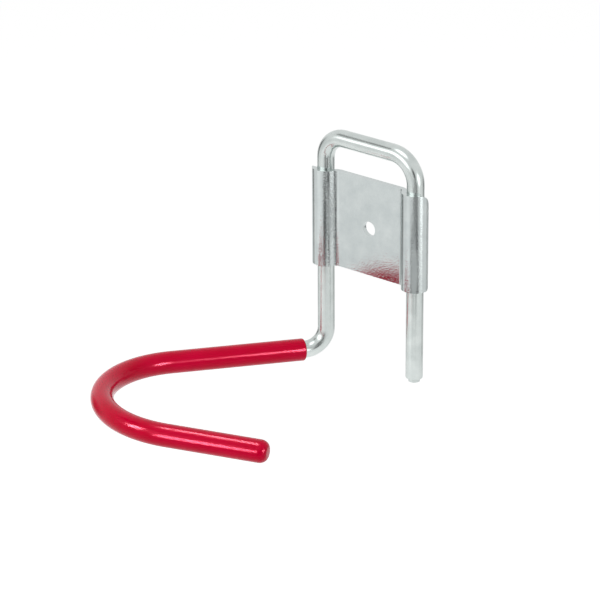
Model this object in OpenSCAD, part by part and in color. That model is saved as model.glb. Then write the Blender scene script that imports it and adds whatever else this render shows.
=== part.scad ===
// Hook for a wall or ceiling: one bent rod, a folded plate that clamps both of
// its legs down, and a soft sleeve over the hook. Lengths are in millimetres.
// The origin is the middle of the screw hole, on the plate's back face.
// X runs along the wall, -Y straight out of it, and +Z up towards the loop.

/* [Rod] */
// Diameter of the bent rod
rod_diameter = 7.5; // [6.5:0.5:10]
// Distance between the two legs, centre to centre
leg_spacing = 48.2; // [40:0.1:70]
// Height of the loop's bar above the plate's top edge, to the bar's centre
loop_height = 14.6; // [13.5:0.1:30]
// Bend radius of the loop's corner above the hook, to the rod's centre
hook_corner_radius = 10; // [7.5:0.1:12]
// Bend radius of the loop's corner above the free leg, to the rod's centre
free_corner_radius = 11.9; // [7.5:0.1:13]
// Length of the free leg below the plate
free_leg_length = 42.2; // [10:0.1:70]
// Length of the free leg's tapered end
taper_length = 2; // [0.5:0.1:4]
// Diameter of the taper's blunt face
taper_diameter = 5; // [3:0.1:5]
// How far the legs stand out behind the plate, so that the screw clamps them
leg_proud = 2.45; // [0.5:0.05:3]

/* [Hook] */
// Distance from the plate's bottom edge down to the arm, to the rod's centre
arm_drop = 39.9; // [25:0.1:70]
// Bend radius between the leg and the arm, to the rod's centre
foot_radius = 9.4; // [6:0.1:12]
// Turn of the arm away from straight out of the wall, in degrees
arm_turn = 31; // [0:1:45]
// Rise of the arm from straight out of the wall, in degrees
arm_rise = 2.5; // [0:0.5:8]
// Length of the arm's straight run
arm_length = 60; // [30:1:120]
// Radius of the bowl, to the rod's centre
bowl_radius = 40.5; // [25:0.5:80]
// Turn of the bowl, in degrees
bowl_turn = 143; // [100:0.5:175]
// Length of the straight end after the bowl
end_length = 42.1; // [10:0.1:80]

/* [Sleeve] */
// Thickness of the sleeve's wall
sleeve_wall = 1; // [0.8:0.1:2.5]
// Bare rod left between the foot bend and the sleeve
bare_length = 0.5; // [0.5:0.5:20]
// Gap between the sleeve's bore and the rod
bore_gap = 0.1; // [0.05:0.01:0.2]
// Rounding of the sleeve's open end
open_end_round = 0.8; // [0.2:0.1:0.8]
// Thickness of the closed end beyond the rod
closed_end_thickness = 1.3; // [0.8:0.1:4]
// Rounding of the closed end
closed_end_round = 2.2; // [0.8:0.1:3]

/* [Plate] */
// Thickness of the sheet
sheet_thickness = 2.2; // [1:0.1:3]
// Height of the plate
plate_height = 43; // [30:0.1:80]
// Distance from the plate's top edge down to the screw hole
hole_from_top = 22.1; // [10:0.1:25]
// Diameter of the screw hole
hole_diameter = 6.5; // [4:0.1:9]
// Slope of the folds beside the legs, in degrees from the plate
fold_slope = 60; // [50:1:64]
// Radius of the bend between the flat and each fold, on the front face
root_radius = 2.5; // [0.5:0.1:3]
// Gap between the folds and the legs
wrap_gap = 0.05; // [0.03:0.01:0.2]
// Distance that the outer edges stop short of the plate's back face
edge_setback = 0.2; // [0:0.1:1]
// Rounding of the outer edges at the top corners
top_corner_round = 4.5; // [1:0.1:4.5]
// Rounding of the outer edges at the bottom corners
bottom_corner_round = 1.5; // [0.5:0.1:4]

/* [Hidden] */
$fn = 72;

// The legs lie in the folds and stand proud behind the plate
rod_radius = rod_diameter / 2;
leg_x = leg_spacing / 2;
leg_y = leg_proud - rod_radius;

// Heights, from the screw hole
plate_top = hole_from_top;
plate_bottom = plate_top - plate_height;
loop_z = plate_top + loop_height;
arm_z = plate_bottom - arm_drop;
free_end_z = plate_bottom - free_leg_length;

// The foot bend turns the rod from straight down to along the arm, and takes
// this much of the leg and of the arm up to where their two axes cross
foot_turn = 90 + arm_rise;
foot_reach = foot_radius * tan(foot_turn / 2);
arm_end = foot_reach + arm_length;
bore_radius = rod_radius + bore_gap;
sleeve_radius = bore_radius + sleeve_wall;
sleeve_end = end_length + bore_gap + closed_end_thickness;

// Each fold wraps its leg: a round bend about the leg's axis, the slope that
// leaves it as a tangent, and the bend into the flat. The slope's and the flat's
// front faces would meet at root_x, and the bend takes root_cut off each of them
wrap_inside = rod_radius + wrap_gap;
wrap_outside = wrap_inside + sheet_thickness;
slope_reach = (wrap_outside - (sheet_thickness + leg_y) * cos(fold_slope)) / sin(fold_slope);
slope_room = (wrap_outside * cos(fold_slope) - sheet_thickness - leg_y) / sin(fold_slope);
root_x = leg_x - slope_reach;
root_cut = root_radius * tan(fold_slope / 2);
slope_length = slope_room - root_cut;

// The outer edges' rounding never reaches the front of the fold
edge_depth = rod_radius - leg_y - edge_setback;
top_round = min(top_corner_round, edge_depth);
bottom_round = min(bottom_corner_round, edge_depth);

// Margin by which a cutting shape passes the face that it cuts
past = 1;

// A bend swells by a hair over the straight runs, as bent metal does, and the
// runs end just inside it, so that they always join into one solid
swell = 0.02;
lap = 0.3;

// Bend that lies flat, from the angle `from` on by `turn`
module bend(radius, from, turn, section) {
    rotate(from)
        rotate_extrude(angle = turn)
            translate([radius, 0])
                circle(r = section + swell);
}

// Straight run along X, from one place to another
module run(from, to, section) {
    translate([from, 0, 0])
        rotate([0, 90, 0])
            cylinder(r = section, h = to - from);
}

// Straight run along Z from 0 up, with its top edge rounded
module rounded_run(length, section, rounding) {
    rotate_extrude() {
        square([section, length - rounding]);
        square([section - rounding, length]);
        translate([section - rounding, length - rounding])
            circle(r = rounding);
    }
}

// Puts its children where the hook lies: X along the arm from the point where
// the leg's and the arm's axes cross, and Y towards the inside of the bowl
module in_hook_plane() {
    translate([-leg_x, leg_y, arm_z])
        rotate([0, 0, -90 - arm_turn])
            rotate([0, -arm_rise, 0])
                children();
}

// Puts its children at the end of the bowl, with X along the straight end
module at_bowl_end() {
    translate([arm_end, bowl_radius, 0])
        rotate(bowl_turn)
            translate([0, -bowl_radius, 0])
                children();
}

module bowl(section) {
    translate([arm_end, bowl_radius, 0])
        bend(bowl_radius, -90, bowl_turn, section);
}

module loop() {
    translate([0, leg_y, loop_z])
        run(-leg_x + hook_corner_radius - lap, leg_x - free_corner_radius + lap, rod_radius);
    translate([-leg_x + hook_corner_radius, leg_y, loop_z - hook_corner_radius])
        rotate([90, 0, 0])
            bend(hook_corner_radius, 90, 90, rod_radius);
    translate([leg_x - free_corner_radius, leg_y, loop_z - free_corner_radius])
        rotate([90, 0, 0])
            bend(free_corner_radius, 0, 90, rod_radius);
}

module free_leg() {
    translate([leg_x, leg_y, free_end_z]) {
        cylinder(d1 = taper_diameter, d2 = rod_diameter, h = taper_length);
        translate([0, 0, taper_length])
            cylinder(r = rod_radius, h = loop_z - free_corner_radius + lap - free_end_z - taper_length);
    }
}

module hook_leg() {
    translate([-leg_x, leg_y, arm_z + foot_reach - lap])
        cylinder(r = rod_radius, h = loop_z - hook_corner_radius - arm_z - foot_reach + 2 * lap);
    translate([-leg_x, leg_y, arm_z + foot_reach])
        rotate([0, 0, -90 - arm_turn])
            translate([foot_radius, 0, 0])
                rotate([90, 0, 0])
                    bend(foot_radius, 180, foot_turn, rod_radius);
}

// The arm, the bowl and the straight end, as the rod or as the sleeve's bore
module hook_core(arm_start, section, length) {
    in_hook_plane() {
        run(arm_start, arm_end + lap, section);
        bowl(section);
        at_bowl_end()
            run(-lap, length, section);
    }
}

module bent_rod() {
    color("silver")
        union() {
            loop();
            free_leg();
            hook_leg();
            hook_core(foot_reach - lap, rod_radius, end_length);
        }
}

module grip_sleeve() {
    color("crimson")
        difference() {
            in_hook_plane() {
                translate([arm_end + lap, 0, 0])
                    rotate([0, -90, 0])
                        rounded_run(arm_length - bare_length + lap, sleeve_radius, open_end_round);
                bowl(sleeve_radius);
                at_bowl_end()
                    translate([-lap, 0, 0])
                        rotate([0, 90, 0])
                            rounded_run(sleeve_end + lap, sleeve_radius, closed_end_round);
            }
            hook_core(foot_reach + bare_length - past, bore_radius, end_length + bore_gap);
        }
}

// Section of one bend in the sheet: part of a flat ring as thick as the sheet
module fold_bend(inside, from, turn) {
    far = 2 * (inside + sheet_thickness);
    rotate(from)
        intersection() {
            difference() {
                circle(r = inside + sheet_thickness + swell);
                circle(r = inside - swell);
            }
            polygon([
                [0, 0],
                [far, 0],
                [far * cos(turn / 2), far * sin(turn / 2)],
                [far * cos(turn), far * sin(turn)],
            ]);
        }
}

// Section of the fold at +X, from the flat to the outer edge
module side_section() {
    translate([root_x - root_cut, -sheet_thickness - root_radius])
        fold_bend(root_radius, 90 - fold_slope, fold_slope);
    translate([root_x, -sheet_thickness])
        rotate(-fold_slope)
            translate([root_cut - lap, 0])
                square([slope_length + 2 * lap, sheet_thickness]);
    translate([leg_x, leg_y])
        fold_bend(wrap_inside, 270 - fold_slope, 90 + fold_slope);
    translate([leg_x + wrap_inside, leg_y - lap])
        square([sheet_thickness, -edge_setback - leg_y + lap]);
}

module plate_section() {
    translate([root_cut - root_x - lap, -sheet_thickness])
        square([2 * (root_x - root_cut + lap), sheet_thickness]);
    side_section();
    mirror([1, 0])
        side_section();
}

// What the rounding takes off an outer edge's corner: a square less a circle
module corner_waste(rounding) {
    difference() {
        cube([wrap_outside + past, rounding + past, rounding + past]);
        translate([-past, 0, 0])
            rotate([0, 90, 0])
                cylinder(r = rounding, h = wrap_outside + 3 * past);
    }
}

module edge_waste() {
    translate([leg_x, -edge_setback - top_round, plate_top - top_round])
        corner_waste(top_round);
    translate([leg_x, -edge_setback - bottom_round, plate_bottom + bottom_round])
        mirror([0, 0, 1])
            corner_waste(bottom_round);
}

module clamp_plate() {
    color("gainsboro")
        difference() {
            translate([0, 0, plate_bottom])
                linear_extrude(plate_height)
                    plate_section();
            translate([0, past, 0])
                rotate([90, 0, 0])
                    cylinder(d = hole_diameter, h = sheet_thickness + 2 * past);
            edge_waste();
            mirror([1, 0, 0])
                edge_waste();
        }
}

bent_rod();
clamp_plate();
grip_sleeve();
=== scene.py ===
import bpy
import math
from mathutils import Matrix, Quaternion, Vector


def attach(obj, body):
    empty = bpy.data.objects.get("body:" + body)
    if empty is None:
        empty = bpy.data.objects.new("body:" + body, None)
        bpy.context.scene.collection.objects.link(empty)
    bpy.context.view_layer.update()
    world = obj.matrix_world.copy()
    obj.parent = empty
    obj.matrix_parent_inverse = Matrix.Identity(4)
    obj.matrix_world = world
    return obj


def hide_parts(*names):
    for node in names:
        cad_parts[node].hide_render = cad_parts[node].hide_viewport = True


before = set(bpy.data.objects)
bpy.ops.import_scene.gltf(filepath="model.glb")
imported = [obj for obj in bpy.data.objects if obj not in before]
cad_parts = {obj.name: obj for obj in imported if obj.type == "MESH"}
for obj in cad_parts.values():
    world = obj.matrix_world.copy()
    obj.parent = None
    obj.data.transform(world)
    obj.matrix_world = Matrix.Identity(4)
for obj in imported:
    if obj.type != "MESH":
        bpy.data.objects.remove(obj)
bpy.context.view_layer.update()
mm = 0.001
up = Vector((0, 0, 1))


# Small helpers

def fromHex(text):  # sRGB hex to the linear colour that the shaders want
    parts = [int(text[i:i + 2], 16) / 255 for i in (1, 3, 5)]
    linear = [c / 12.92 if c <= 0.04045 else ((c + 0.055) / 1.055) ** 2.4 for c in parts]
    return (*linear, 1)


def wayTo(azimuth, elevation):  # degrees from -Y towards +X, and degrees up
    a, e = math.radians(azimuth), math.radians(elevation)
    return Vector((math.sin(a) * math.cos(e), -math.cos(a) * math.cos(e), math.sin(e)))


def deselectAll():
    if bpy.context.object and bpy.context.object.mode != "OBJECT":
        bpy.ops.object.mode_set(mode="OBJECT")
    bpy.ops.object.select_all(action="DESELECT")


def addNode(tree, kind, settings=None, **links):
    # settings hold properties and plain socket values, links hold sockets of other nodes;
    # i0, i1 and i2 are sockets by their number
    node = tree.nodes.new("ShaderNode" + kind)

    def socket(key):
        return node.inputs[int(key[1:]) if key[0] == "i" and key[1:].isdigit() else key.replace("_", " ")]

    for key, value in (settings or {}).items():
        if hasattr(node, key) and key not in node.inputs:
            setattr(node, key, value)
        else:
            socket(key).default_value = value
    for key, value in links.items():
        tree.links.new(value, socket(key))
    return node


def startMaterial(name):
    material = bpy.data.materials.new(name)
    material.use_nodes = True
    material.node_tree.nodes.clear()
    return material, material.node_tree


def twoColours(tree, pattern, start, startColour, end, endColour):
    ramp = addNode(tree, "ValToRGB", None, Fac=pattern.outputs["Fac"])
    for stop, place, colour in zip(ramp.color_ramp.elements, (start, end), (startColour, endColour)):
        stop.position = place
        stop.color = fromHex(colour)
    return ramp


def endMaterial(tree, shader):
    out = tree.nodes.new("ShaderNodeOutputMaterial")
    tree.links.new(shader.outputs[0], out.inputs["Surface"])


# Camera, at the photograph's angle: the point it aims at is given in the part's frame

cameraSet = {
    "azimuth": 40.2, "elevation": 22.4, "roll": -0.3, "distance": 1430 * mm,
    "aim": Vector((-15.87, -28.52, -27.99)) * mm, "lens": 204, "sensor": 36,
}


def makeCamera(s):
    bpy.ops.object.camera_add(
        location=s["aim"] + wayTo(s["azimuth"], s["elevation"]) * s["distance"],
        rotation=(math.pi / 2 - math.radians(s["elevation"]), 0, math.radians(s["azimuth"])),
    )
    camera = bpy.context.object
    camera.name = "productCamera"
    camera.rotation_euler.rotate_axis("Z", math.radians(s["roll"]))
    camera.data.lens = s["lens"]
    camera.data.sensor_width = s["sensor"]
    camera.data.clip_start = 0.05
    camera.data.clip_end = 50
    bpy.context.scene.camera = camera


makeCamera(cameraSet)
print("camera set")


# Studio: a white floor and world, soft lamps, and glowing cards that only shiny things see, which paint
# dark and pale reflections

studio = {
    "floorDrop": 0.5, "floorSize": 12, "floorColour": "#F4F4F4", "floorLift": 0.62,
    "worldDiffuse": 0.38,
}
lamps = [
    # name, azimuth and elevation, distance, width, height, radiance, lights matt things, shows in
    # shiny things; a bulb is a hot spot for the sleeve alone
    ("frontSoftbox", -16, 22, 1.0, 1.40, 0.60, 1.8, True, True),
    ("topSoftbox", 5, 76, 0.9, 0.80, 0.60, 1.7, True, True),
    ("rightSoftbox", 86, 4, 1.0, 0.70, 0.80, 1.6, True, True),
    ("lowSoftbox", -20, -20, 0.8, 0.60, 0.50, 0.17, True, True),
    ("keyFill", 8, 42, 1.4, 1.40, 1.00, 2.4, True, False),
    ("leftBulb", -30, 25, 1.0, 0.34, 0.50, 70.0, False, True),
    ("topBulb", -42, 74, 0.9, 0.66, 0.24, 38.0, False, True),
    ("rightBulb", 88, 12, 1.1, 0.68, 0.54, 60.0, False, True),
    ("lowBulb", 4, 8, 1.2, 0.46, 0.56, 60.0, False, True),
]
# painted reflections: grey and dark sheets that glow for shiny surfaces only and stand in for shade and
# dark surroundings; the ones close to the hook paint the dark bands on the plate's folds
cards = [
    # name, azimuth and elevation, distance, width, height, sRGB colour, how much of it is solid
    ("nearFlag", 56, -18, 0.17, 0.09, 0.075, "#282828", 0.4),
    ("gapFlag", 24, -19, 0.18, 0.15, 0.08, "#707070", 0.3),
    ("paleFlag", 46, -3, 0.17, 0.16, 0.08, "#A4A4A4", 0.3),
    ("nearFill", 54, -20, 0.05, 0.042, 0.034, "#D4D4D4", 0.5),
    ("cameraGap", 42, 14, 1.2, 0.60, 0.80, "#202020", 0.5),
    ("leftFlag", -62, 46, 1.0, 0.50, 0.36, "#303030", 0.3),
    ("sideFlag", -86, -8, 1.0, 0.80, 0.90, "#707070", 0.2),
    ("backFlag", 155, -14, 1.0, 0.90, 0.70, "#909090", 0.2),
]
sleeveOnly = bpy.data.collections.new("sleeveOnly")  # what the bulbs light


def seenAsWhite(tree):
    # 1 for the camera, gloss and glass, which see the background white, and 0 for what it lights
    path = addNode(tree, "LightPath")
    seen = addNode(tree, "Math", {"operation": "MAXIMUM"},
                   i0=path.outputs["Is Camera Ray"], i1=path.outputs["Is Glossy Ray"])
    seen = addNode(tree, "Math", {"operation": "MAXIMUM"},
                   i0=seen.outputs[0], i1=path.outputs["Is Transmission Ray"])
    return seen.outputs[0]


def makeWorld(s):
    world = bpy.data.worlds.new("paperWorld")
    bpy.context.scene.world = world
    world.use_nodes = True
    tree = world.node_tree
    tree.nodes.clear()
    level = addNode(tree, "MapRange", {"To Min": s["worldDiffuse"], "To Max": 1.0},
                    Value=seenAsWhite(tree))
    light = addNode(tree, "Background", {"Color": (1, 1, 1, 1)}, Strength=level.outputs[0])
    out = tree.nodes.new("ShaderNodeOutputWorld")
    tree.links.new(light.outputs[0], out.inputs["Surface"])


def makeFloor(s):
    deselectAll()
    bpy.ops.mesh.primitive_plane_add(size=s["floorSize"], location=(0, 0, -s["floorDrop"]))
    floor = bpy.context.object
    floor.name = "paperFloor"
    material, tree = startMaterial("whitePaper")
    lift = addNode(tree, "Math", {"operation": "MULTIPLY", "i0": s["floorLift"]}, i1=seenAsWhite(tree))
    paper = addNode(tree, "BsdfDiffuse", {"Color": fromHex(s["floorColour"])})
    glow = addNode(tree, "Emission", {"Color": (1, 1, 1, 1)}, Strength=lift.outputs[0])
    both = addNode(tree, "AddShader", None, i0=paper.outputs[0], i1=glow.outputs[0])
    endMaterial(tree, both)
    floor.data.materials.append(material)


def makeLamps(rows):
    for name, azimuth, elevation, distance, width, height, radiance, matt, shiny in rows:
        way = wayTo(azimuth, elevation)
        bpy.ops.object.light_add(type="AREA", location=way * distance)
        lamp = bpy.context.object
        lamp.name = name
        lamp.rotation_mode = "QUATERNION"
        lamp.rotation_quaternion = way.to_track_quat("Z", "Y")
        lamp.data.shape = "RECTANGLE"
        lamp.data.size = width
        lamp.data.size_y = height
        lamp.data.energy = radiance * math.pi * width * height
        lamp.data.use_nodes = True
        tree = lamp.data.node_tree
        place = addNode(tree, "NewGeometry")
        middle = addNode(tree, "Mapping", {"Location": (-1, -1, 0), "Scale": (2, 2, 0)},
                         Vector=place.outputs["Parametric"])
        fade = addNode(tree, "TexGradient", {"gradient_type": "SPHERICAL"}, Vector=middle.outputs[0])
        soft = addNode(tree, "MapRange", {"From Max": 0.5, "interpolation_type": "SMOOTHSTEP"},
                       Value=fade.outputs["Fac"])  # fades out to its edge, as a diffuser does
        if not matt:
            lamp.light_linking.receiver_collection = sleeveOnly
            path = addNode(tree, "LightPath")  # so that the sleeve's hot spots don't glare in the zinc
            first = addNode(tree, "Math", {"operation": "LESS_THAN", "i1": 2.5},
                            i0=path.outputs["Ray Depth"])
            soft = addNode(tree, "Math", {"operation": "MULTIPLY"}, i0=soft.outputs[0], i1=first.outputs[0])
        tree.links.new(soft.outputs[0], tree.nodes["Emission"].inputs["Strength"])
        lamp.visible_camera = False
        lamp.visible_diffuse = matt
        lamp.visible_glossy = shiny


def makeCards(rows):
    for name, azimuth, elevation, distance, width, height, colour, core in rows:
        way = wayTo(azimuth, elevation)
        deselectAll()
        bpy.ops.mesh.primitive_plane_add(size=1, location=way * distance)
        card = bpy.context.object
        card.name = name
        card.rotation_mode = "QUATERNION"
        card.rotation_quaternion = way.to_track_quat("Z", "Y")
        card.scale = (width, height, 1)
        material, tree = startMaterial(name + "ReflectionGlow")
        place = addNode(tree, "TexCoord")
        doubled = addNode(tree, "Mapping", {"Scale": (2, 2, 2)}, Vector=place.outputs["Object"])
        fade = addNode(tree, "TexGradient", {"gradient_type": "SPHERICAL"}, Vector=doubled.outputs[0])
        share = addNode(tree, "MapRange", {"From Max": 1 - core, "interpolation_type": "SMOOTHSTEP"},
                        Value=fade.outputs["Fac"])  # clear at the edge, so that nothing shows a hard border
        # painted reflection: the card glows in its own grey, and only shiny surfaces see it
        reflectedGlow = addNode(tree, "Emission", {"Color": fromHex(colour)})
        clear = addNode(tree, "BsdfTransparent")
        both = addNode(tree, "MixShader", None, Fac=share.outputs[0], i1=clear.outputs[0],
                       i2=reflectedGlow.outputs[0])
        endMaterial(tree, both)
        card.data.materials.append(material)
        card.visible_camera = False
        card.visible_diffuse = False
        card.visible_shadow = False
        card.visible_transmission = False


makeWorld(studio)
makeFloor(studio)
makeLamps(lamps)
makeCards(cards)
bpy.context.scene.view_settings.view_transform = "Standard"
print("studio set")


# Bending bench: a ring is pushed forwards and spun round, as rod is fed and bent

def startSweep(name, place, heading, radius, sides):
    deselectAll()
    bpy.ops.mesh.primitive_circle_add(
        vertices=sides, radius=radius, location=place,
        rotation=heading.to_track_quat("Z", "Y").to_euler(),
    )
    piece = bpy.context.object
    piece.name = name
    bpy.ops.object.transform_apply(location=True, rotation=True, scale=True)
    bpy.ops.object.mode_set(mode="EDIT")
    bpy.ops.mesh.select_all(action="SELECT")
    return {
        "piece": piece, "place": Vector(place), "heading": heading.normalized(),
        "radius": radius, "sides": sides, "gone": 0.0, "marks": [0.0],
    }


def pushOn(sweep, length, steps=1, radius=None):
    # straight on; the last ring is scaled to the new radius
    step = sweep["heading"] * length / steps
    for _ in range(steps):
        bpy.ops.mesh.extrude_region_move(TRANSFORM_OT_translate={"value": step})
        sweep["place"] += step
        sweep["gone"] += length / steps
        sweep["marks"].append(sweep["gone"])
    if radius is not None:
        share = radius / sweep["radius"]
        bpy.ops.transform.resize(value=(share, share, share), center_override=sweep["place"])
        sweep["gone"] += abs(radius - sweep["radius"])
        sweep["marks"][-1] = sweep["gone"]
        sweep["radius"] = radius


def bendOn(sweep, radius, turn, inside, steps):
    centre = sweep["place"] + inside.normalized() * radius
    axis = sweep["heading"].cross(inside).normalized()
    bpy.ops.mesh.spin(steps=steps, angle=-turn, center=centre, axis=axis)  # spin turns left-handed
    spoke = sweep["place"] - centre
    spoke.rotate(Quaternion(axis, turn))
    sweep["place"] = centre + spoke
    sweep["heading"].rotate(Quaternion(axis, turn))
    for _ in range(steps):
        sweep["gone"] += radius * turn / steps
        sweep["marks"].append(sweep["gone"])


def roundOver(sweep, rounding, length, outwards, steps):
    # a quarter oval: outwards from a face to the side, or inwards from the side to a face
    start = sweep["radius"]
    last = 0.0
    for k in range(1, steps + 1):
        t = math.pi / 2 * k / steps
        if outwards:
            along, across = length * (1 - math.cos(t)), rounding * math.sin(t)
        else:
            along, across = length * math.sin(t), -rounding * (1 - math.cos(t))
        pushOn(sweep, along - last, radius=start + across)
        last = along


def closeEnds(sweep):
    bpy.ops.mesh.edge_face_add()  # the last ring is still selected
    bpy.ops.object.mode_set(mode="OBJECT")
    piece = sweep["piece"]
    sides = sweep["sides"]
    deselectAll()
    piece.select_set(True)
    bpy.context.view_layer.objects.active = piece
    bpy.ops.object.mode_set(mode="EDIT")
    bpy.ops.mesh.select_mode(type="VERT")
    bpy.ops.mesh.select_all(action="DESELECT")
    bpy.ops.object.mode_set(mode="OBJECT")
    for vertex in piece.data.vertices[:sides]:
        vertex.select = True
    bpy.ops.object.mode_set(mode="EDIT")
    bpy.ops.mesh.edge_face_add()
    bpy.ops.mesh.select_all(action="SELECT")
    bpy.ops.mesh.normals_make_consistent(inside=False)
    bpy.ops.object.mode_set(mode="OBJECT")


def windUv(sweep, radius):
    # U goes once round the section and V along it, both in metres, for drawing marks
    piece, sides = sweep["piece"], sweep["sides"]
    layer = piece.data.uv_layers.new(name="along")
    girth = 2 * math.pi * radius
    for polygon in piece.data.polygons:
        corners = [(piece.data.loops[i].vertex_index, i) for i in polygon.loop_indices]
        columns = [v % sides for v, _ in corners]
        wraps = max(columns) - min(columns) > 1 and len(corners) == 4
        for v, i in corners:
            column = v % sides
            if wraps and column == 0:
                column = sides
            layer.data[i].uv = (column / sides * girth, sweep["marks"][v // sides])


def finishPiece(piece, material, nodeName, smoothAngle):
    deselectAll()
    piece.select_set(True)
    bpy.context.view_layer.objects.active = piece
    bpy.ops.object.shade_smooth_by_angle(angle=math.radians(smoothAngle))
    piece.data.materials.clear()
    piece.data.materials.append(material)
    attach(piece, "root")
    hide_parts(nodeName)


# Finishes

def zincPlatedRod():
    # bright zinc plating on drawn steel rod: soft gloss with long highlights, faint lines along
    # the rod left by the drawing die, and a slight cool cast
    material, tree = startMaterial("brightZincPlating")
    uv = addNode(tree, "UVMap", {"uv_map": "along"})
    place = addNode(tree, "TexCoord")
    stretched = addNode(tree, "Mapping", {"Scale": (1 / (0.35 * mm), 1 / (40 * mm), 1)},
                        Vector=uv.outputs[0])  # drawing lines 0.35 mm apart and 40 mm long
    lines = addNode(tree, "TexNoise", {"Scale": 1.0, "Detail": 3.0, "Roughness": 0.6},
                    Vector=stretched.outputs[0])
    cloud = addNode(tree, "TexNoise", {"Scale": 1 / (6 * mm), "Detail": 3.0},
                    Vector=place.outputs["Object"])  # plating stains about 6 mm wide
    pits = addNode(tree, "TexNoise", {"Scale": 1 / (0.5 * mm), "Detail": 2.0},
                   Vector=place.outputs["Object"])
    tint = twoColours(tree, cloud, 0.35, "#BEC5C3", 0.7, "#CBD1CF")
    rough = addNode(tree, "MapRange", {"From Min": 0.3, "From Max": 0.7, "To Min": 0.18, "To Max": 0.28},
                    Value=lines.outputs["Fac"])
    mixed = addNode(tree, "Math", {"operation": "MULTIPLY_ADD", "i1": 0.35},
                    i0=pits.outputs["Fac"], i2=lines.outputs["Fac"])
    bump = addNode(tree, "Bump", {"Strength": 0.12, "Distance": 0.02 * mm}, Height=mixed.outputs[0])
    shader = addNode(tree, "BsdfPrincipled", {"Metallic": 1.0},
                     Base_Color=tint.outputs["Color"], Roughness=rough.outputs[0],
                     Normal=bump.outputs[0])
    endMaterial(tree, shader)
    return material


pressed = {
    "lean": -0.046, "twist": -0.9,  # slope in Z, 2.6 degrees at the middle, and its change per metre of X
    "flatEnd": 15.5 * mm, "foldStart": 17.5 * mm, "flatGrain": 0.45,
}


def zincPlatedSheet(s):
    # satin zinc plating on cold-rolled sheet: the rolled grain breaks reflections into soft
    # mottled bands, and the plating clouds a little
    material, tree = startMaterial("satinZincPlating")
    place = addNode(tree, "TexCoord")
    cloud = addNode(tree, "TexNoise", {"Scale": 1 / (7 * mm), "Detail": 4.0, "Roughness": 0.6},
                    Vector=place.outputs["Object"])
    grain = addNode(tree, "TexNoise", {"Scale": 1 / (0.5 * mm), "Detail": 1.0, "Roughness": 0.5},
                    Vector=place.outputs["Object"])
    tint = twoColours(tree, cloud, 0.3, "#B9C0C0", 0.75, "#C8CECD")
    rough = addNode(tree, "MapRange", {"From Min": 0.3, "From Max": 0.7, "To Min": 0.05, "To Max": 0.1},
                    Value=grain.outputs["Fac"])
    spot = addNode(tree, "SeparateXYZ", None, Vector=place.outputs["Object"])
    slope = addNode(tree, "Math", {"operation": "MULTIPLY_ADD", "i1": s["twist"], "i2": s["lean"]},
                    i0=spot.outputs["X"])
    fall = addNode(tree, "Math", {"operation": "MULTIPLY"}, i0=spot.outputs["Z"], i1=slope.outputs[0])
    leaning = addNode(tree, "Bump", {"Strength": 1.0, "Distance": 1.0}, Height=fall.outputs[0])
    aside = addNode(tree, "Math", {"operation": "ABSOLUTE"}, i0=spot.outputs["X"])
    opened = addNode(tree, "MapRange", {"From Min": s["flatEnd"], "From Max": s["foldStart"],
                                        "To Min": s["flatGrain"], "To Max": 1.0}, Value=aside.outputs[0])
    relief = addNode(tree, "Math", {"operation": "MULTIPLY"}, i0=grain.outputs["Fac"], i1=opened.outputs[0])
    bump = addNode(tree, "Bump", {"Strength": 0.9, "Distance": 0.055 * mm}, Height=relief.outputs[0],
                   Normal=leaning.outputs[0])  # bending opens the grain, so the folds are coarser
    shader = addNode(tree, "BsdfPrincipled", {"Metallic": 1.0},
                     Base_Color=tint.outputs["Color"], Roughness=rough.outputs[0],
                     Normal=bump.outputs[0])
    endMaterial(tree, shader)
    return material


def dippedVinyl():
    # soft vinyl dipped over the rod: deep red, glossy, with the slow waves of a dipped skin
    material, tree = startMaterial("redDippedVinyl")
    place = addNode(tree, "TexCoord")
    waves = addNode(tree, "TexNoise", {"Scale": 1 / (5 * mm), "Detail": 1.0},
                    Vector=place.outputs["Object"])
    cloud = addNode(tree, "TexNoise", {"Scale": 1 / (12 * mm), "Detail": 3.0},
                    Vector=place.outputs["Object"])
    specks = addNode(tree, "TexNoise", {"Scale": 1 / (3 * mm), "Detail": 2.0},
                     Vector=place.outputs["Object"])
    tint = twoColours(tree, cloud, 0.3, "#C8002C", 0.7, "#D20036")
    rough = addNode(tree, "MapRange", {"From Min": 0.3, "From Max": 0.7, "To Min": 0.13, "To Max": 0.17},
                    Value=specks.outputs["Fac"])
    bump = addNode(tree, "Bump", {"Strength": 0.1, "Distance": 0.1 * mm}, Height=waves.outputs["Fac"])
    shader = addNode(tree, "BsdfPrincipled", {"IOR": 1.53, "Specular IOR Level": 0.22,
                                               "Specular Tint": fromHex("#FF7C98")},
                     Base_Color=tint.outputs["Color"], Roughness=rough.outputs[0],
                     Normal=bump.outputs[0])
    endMaterial(tree, shader)
    return material


# The bent rod, from its free end round to the tip inside the sleeve

rod = {
    "radius": 3.75 * mm, "sides": 56, "freeX": 24.1 * mm, "hookX": -24.1 * mm, "legY": -1.3 * mm,
    "freeEnd": -63.1 * mm, "faceThinner": 1.41 * mm,
    "freeProfile": [
        # length, rings, how much thinner than the rod the last ring is: a soft edge, a neck that
        # widens in its last third, and a soft shoulder
        (0.12 * mm, 1, 1.25 * mm), (1.55 * mm, 3, 0.22 * mm), (0.2 * mm, 1, 0.08 * mm), (0.3 * mm, 1, 0),
    ],
    "loopZ": 36.7 * mm, "freeCorner": 11.9 * mm, "hookCorner": 10 * mm,
    "footZ": -60.8 * mm, "foot": 9.4 * mm, "footTurn": math.radians(92.5),
    "armTurn": math.radians(31), "armLength": 60 * mm,
    "bowl": 40.5 * mm, "bowlTurn": math.radians(143), "endLength": 42.1 * mm,
}


def hookWays(s):
    # straight out of the wall turned to the arm's side, and the bowl's inside
    out = Vector((-math.sin(s["armTurn"]), -math.cos(s["armTurn"]), 0))
    inside = Vector((math.cos(s["armTurn"]), -math.sin(s["armTurn"]), 0))
    return out, inside


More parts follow.
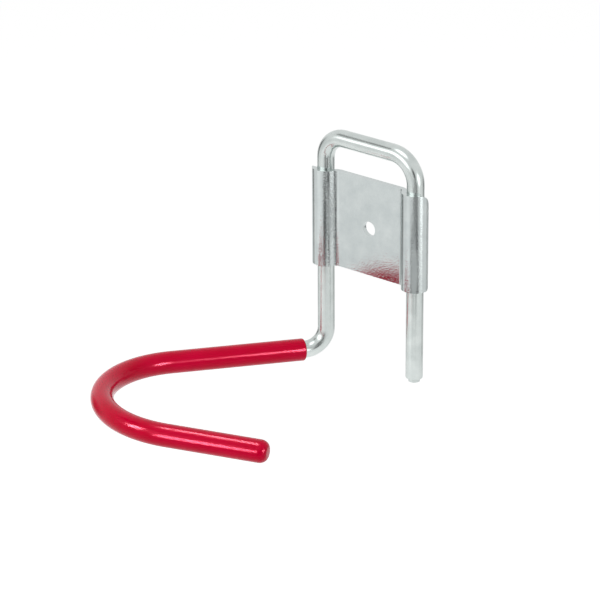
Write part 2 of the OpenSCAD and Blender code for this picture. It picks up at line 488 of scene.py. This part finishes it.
def makeRod(s, material):
    out, inside = hookWays(s)
    reach = s["foot"] * math.tan(s["footTurn"] / 2)
    start = Vector((s["freeX"], s["legY"], s["freeEnd"]))
    r = startSweep("bentRod", start, up.copy(), s["radius"] - s["faceThinner"], s["sides"])
    for length, rings, thinner in s["freeProfile"]:
        pushOn(r, length, rings, s["radius"] - thinner)
    pushOn(r, s["loopZ"] - s["freeCorner"] - r["place"].z, steps=8)
    bendOn(r, s["freeCorner"], math.pi / 2, Vector((-1, 0, 0)), steps=24)
    pushOn(r, s["freeX"] - s["hookX"] - s["freeCorner"] - s["hookCorner"], steps=4)
    bendOn(r, s["hookCorner"], math.pi / 2, -up, steps=20)
    pushOn(r, s["loopZ"] - s["hookCorner"] - s["footZ"] - reach, steps=10)
    bendOn(r, s["foot"], s["footTurn"], out, steps=24)
    pushOn(r, s["armLength"], steps=6)
    bendOn(r, s["bowl"], s["bowlTurn"], inside, steps=96)
    pushOn(r, s["endLength"], steps=4)
    closeEnds(r)
    windUv(r, s["radius"])
    finishPiece(r["piece"], material, "bent_rod", smoothAngle=35)
    return r["piece"]


makeRod(rod, zincPlatedRod())
print("rod bent")


# The sleeve: its bore runs back from the tip, turns over the rim, and its skin runs forwards

sleeve = {
    "bore": 3.85 * mm, "skin": 4.85 * mm, "bare": 0.5 * mm, "rim": 0.8 * mm,
    "tip": 2.8 * mm, "tipFall": 3.6 * mm, "tipWall": 1.3 * mm, "boreGap": 0.1 * mm, "sides": 56,
}


def makeSleeve(s, rodSet, material):
    out, inside = hookWays(rodSet)
    rise = rodSet["footTurn"] - math.pi / 2
    arm = out * math.cos(rise) + up * math.sin(rise)
    reach = rodSet["foot"] * math.tan(rodSet["footTurn"] / 2)
    corner = Vector((rodSet["hookX"], rodSet["legY"], rodSet["footZ"]))
    bend = corner + arm * (reach + rodSet["armLength"])
    axis = arm.cross(inside).normalized()
    centre = bend + inside * rodSet["bowl"]
    spoke = bend - centre
    spoke.rotate(Quaternion(axis, rodSet["bowlTurn"]))
    onward = arm.copy()
    onward.rotate(Quaternion(axis, rodSet["bowlTurn"]))
    boreEnd = centre + spoke + onward * (rodSet["endLength"] + s["boreGap"])
    straight = rodSet["armLength"] - s["bare"]
    r = startSweep("gripSleeve", boreEnd, -onward, s["bore"], s["sides"])
    pushOn(r, rodSet["endLength"] + s["boreGap"])
    bendOn(r, rodSet["bowl"], rodSet["bowlTurn"], -spoke, steps=64)
    pushOn(r, straight)
    r["heading"] = -r["heading"]  # turns over the rim and runs forwards again
    pushOn(r, 0, radius=s["skin"] - s["rim"])
    roundOver(r, s["rim"], s["rim"], outwards=True, steps=8)
    pushOn(r, straight - s["rim"], steps=8)
    bendOn(r, rodSet["bowl"], rodSet["bowlTurn"], inside, steps=112)
    pushOn(r, rodSet["endLength"] + s["boreGap"] + s["tipWall"] - s["tipFall"], steps=6)
    roundOver(r, s["tip"], s["tipFall"], outwards=False, steps=12)
    closeEnds(r)
    finishPiece(r["piece"], material, "grip_sleeve", smoothAngle=40)
    return r["piece"]


sleeveOnly.objects.link(makeSleeve(sleeve, rod, dippedVinyl()))
print("sleeve dipped")


# The clamp plate: its front face is bent out over each leg, thickened backwards, punched and cut

plate = {
    "sheet": 2.2 * mm, "top": 22.1 * mm, "bottom": -20.9 * mm, "legX": 24.1 * mm, "legY": -1.3 * mm,
    "wrap": 6.0 * mm, "slope": math.radians(60), "root": 2.5 * mm, "edge": 0.2 * mm,
    "hole": 3.25 * mm, "topCorner": 4.5 * mm, "bottomCorner": 1.5 * mm, "softEdge": 0.22 * mm,
    "cutter": 10 * mm, "cutterPast": 1 * mm, "cutterSides": 96, "sameSpot": 0.01 * mm,
}


def pickEdges(piece, test):
    bpy.ops.object.mode_set(mode="OBJECT")
    for part in (*piece.data.polygons, *piece.data.vertices):
        part.select = False
    for edge in piece.data.edges:
        edge.select = all(test(piece.data.vertices[i].co) for i in edge.vertices)
    bpy.ops.object.mode_set(mode="EDIT")
    bpy.ops.mesh.select_mode(type="EDGE")


def applyModifier(piece, kind, settings):
    deselectAll()
    piece.select_set(True)
    bpy.context.view_layer.objects.active = piece
    modifier = piece.modifiers.new(kind.lower(), kind)
    for key, value in settings.items():
        setattr(modifier, key, value)
    bpy.ops.object.modifier_apply(modifier=modifier.name)


def cutAway(piece, cutter):
    applyModifier(piece, "BOOLEAN", {"object": cutter, "operation": "DIFFERENCE", "solver": "EXACT"})
    bpy.data.objects.remove(cutter)


def cornerWaste(s, side, height, rounding):
    # the square corner that is left when a cylinder is taken out of a block
    inwards = -1 if height > 0 else 1
    reach = rounding + s["cutterPast"]
    middle = Vector((side * (s["legX"] + s["cutter"] / 2), -s["edge"] - rounding,
                     height + inwards * rounding))
    bpy.ops.mesh.primitive_cube_add(size=1, location=middle + Vector((0, 1, -inwards)) * reach / 2)
    block = bpy.context.object
    block.scale = (s["cutter"], reach, reach)
    bpy.ops.object.transform_apply(location=True, rotation=True, scale=True)
    bpy.ops.mesh.primitive_cylinder_add(vertices=s["cutterSides"], radius=rounding, location=middle,
                                        depth=s["cutter"] + 4 * s["cutterPast"],
                                        rotation=(0, math.pi / 2, 0))
    cutAway(block, bpy.context.object)
    return block


def makePlate(s, material):
    cos, sin = math.cos(s["slope"]), math.sin(s["slope"])
    rootCut = s["root"] * math.tan(s["slope"] / 2)
    height = s["top"] - s["bottom"]
    reach = (s["wrap"] - (s["sheet"] + s["legY"]) * cos) / sin  # from the leg to where flat and slope meet
    room = (s["wrap"] * cos - s["sheet"] - s["legY"]) / sin
    flat = s["legX"] - reach - rootCut
    straight = room - rootCut
    deselectAll()
    bpy.ops.mesh.primitive_plane_add(
        size=1, location=(0, -s["sheet"], (s["top"] + s["bottom"]) / 2), rotation=(math.pi / 2, 0, 0))
    piece = bpy.context.object
    piece.name = "clampPlate"
    piece.scale = (2 * flat, height, 1)
    bpy.ops.object.transform_apply(location=True, rotation=True, scale=True)
    for side in (1, -1):
        pickEdges(piece, lambda c: abs(c.x - side * flat) < s["sameSpot"])
        bpy.ops.mesh.spin(steps=10, angle=side * s["slope"], axis=(0, 0, 1),
                          center=(side * flat, -s["sheet"] - s["root"], 0))
        bpy.ops.mesh.extrude_region_move(TRANSFORM_OT_translate={
            "value": (side * straight * cos, -straight * sin, 0)})
        bpy.ops.mesh.spin(steps=40, angle=-side * (s["slope"] + math.pi / 2), axis=(0, 0, 1),
                          center=(side * s["legX"], s["legY"], 0))
        bpy.ops.mesh.extrude_region_move(TRANSFORM_OT_translate={
            "value": (0, -s["edge"] - s["legY"], 0)})
    applyModifier(piece, "SOLIDIFY", {"thickness": s["sheet"], "offset": -1, "use_even_offset": True,
                                      "use_quality_normals": True})
    bpy.ops.mesh.primitive_cylinder_add(vertices=s["cutterSides"], radius=s["hole"],
                                        depth=2 * (s["sheet"] + s["cutterPast"]),
                                        rotation=(math.pi / 2, 0, 0))
    cutAway(piece, bpy.context.object)
    for side in (1, -1):
        cutAway(piece, cornerWaste(s, side, s["top"], s["topCorner"]))
        cutAway(piece, cornerWaste(s, side, s["bottom"], s["bottomCorner"]))
    applyModifier(piece, "BEVEL", {"width": s["softEdge"], "segments": 3, "limit_method": "ANGLE",
                                   "angle_limit": math.radians(40), "use_clamp_overlap": True})
    finishPiece(piece, material, "clamp_plate", smoothAngle=40)
    applyModifier(piece, "WEIGHTED_NORMAL", {"keep_sharp": True, "weight": 50})
    return piece


makePlate(plate, zincPlatedSheet(pressed))
print("plate folded")
